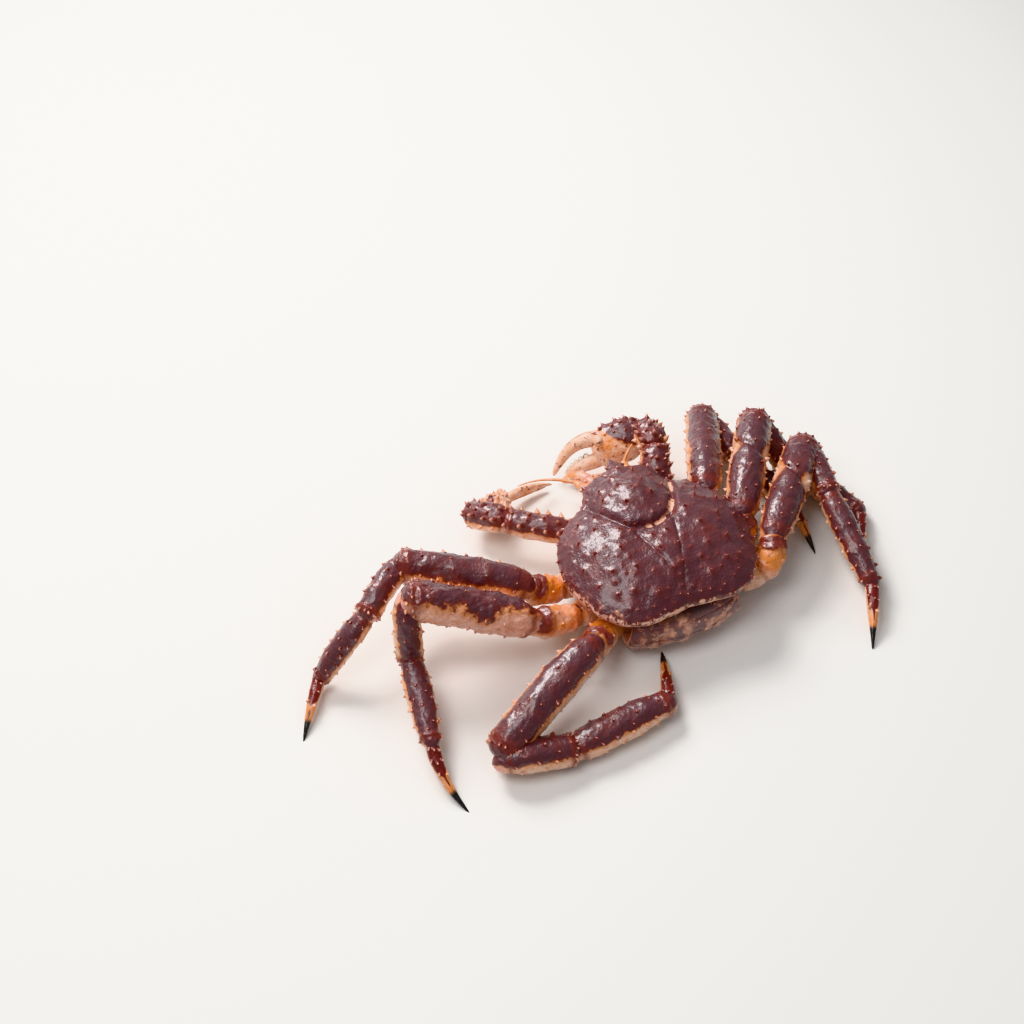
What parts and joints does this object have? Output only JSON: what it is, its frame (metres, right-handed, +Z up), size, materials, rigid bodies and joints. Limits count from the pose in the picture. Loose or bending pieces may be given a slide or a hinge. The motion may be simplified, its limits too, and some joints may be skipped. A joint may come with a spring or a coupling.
{
  "type": "red king crab model",
  "caption": "Life-size display model of a red king crab, lying on its folded abdomen with bent spiny legs and a large and a small claw.",
  "frame": {"origin": "on the floor, under the middle of the carapace", "axes": "+Z up, the head towards -Y and the crab's left side towards +X"},
  "size_m": [0.6014, 0.3279, 0.1102],
  "materials": {
    "carapace_shell": "glossy dark purple-brown shell, cream in its grooves",
    "leg_shell": "glossy maroon shell, cream and orange along the lower side",
    "claw_shell": "glossy cream and orange shell with a purple-brown upper side",
    "joint_shell": "glossy orange shell with pink joint skin",
    "dactyl_shell": "glossy dark red shell, cream-orange towards a black tip",
    "mouthpart_shell": "satin pink-orange shell",
    "underside_shell": "satin cream-pink shell with purple-grey plates",
    "eye_black": "glossy black"
  },
  "bodies": {
    "root": {"carapace": "carapace_shell", "thorax": "underside_shell", "abdomen_rear": "underside_shell", "abdomen_flap": "underside_shell", "eye_l": "eye_black", "eye_r": "eye_black", "antenna_l": "mouthpart_shell", "antenna_r": "mouthpart_shell", "maxilliped_l": "mouthpart_shell", "maxilliped_r": "mouthpart_shell", "leg_l1_base": "joint_shell", "leg_l1_merus": "leg_shell", "leg_l1_carpus": "leg_shell", "leg_l1_propodus": "leg_shell", "leg_l1_dactyl": "dactyl_shell", "leg_l2_base": "joint_shell", "leg_l2_merus": "leg_shell", "leg_l2_carpus": "leg_shell", "leg_l2_propodus": "leg_shell", "leg_l2_dactyl": "dactyl_shell", "leg_l3_base": "joint_shell", "leg_l3_merus": "leg_shell", "leg_l3_carpus": "leg_shell", "leg_l3_propodus": "leg_shell", "leg_l3_dactyl": "dactyl_shell", "leg_r1_base": "joint_shell", "leg_r1_merus": "leg_shell", "leg_r1_carpus": "leg_shell", "leg_r1_propodus": "leg_shell", "leg_r1_dactyl": "dactyl_shell", "leg_r2_base": "joint_shell", "leg_r2_merus": "leg_shell", "leg_r2_carpus": "leg_shell", "leg_r2_propodus": "leg_shell", "leg_r2_dactyl": "dactyl_shell", "leg_r3_base": "joint_shell", "leg_r3_merus": "leg_shell", "leg_r3_carpus": "leg_shell", "leg_r3_propodus": "leg_shell", "leg_r3_dactyl": "dactyl_shell", "claw_l_base": "joint_shell", "claw_l_merus": "leg_shell", "claw_l_carpus": "leg_shell", "claw_l_palm": "claw_shell", "claw_l_finger": "claw_shell", "claw_r_base": "joint_shell", "claw_r_merus": "leg_shell", "claw_r_carpus": "leg_shell", "claw_r_palm": "claw_shell", "claw_r_finger": "claw_shell"}
  },
  "joints": []
}
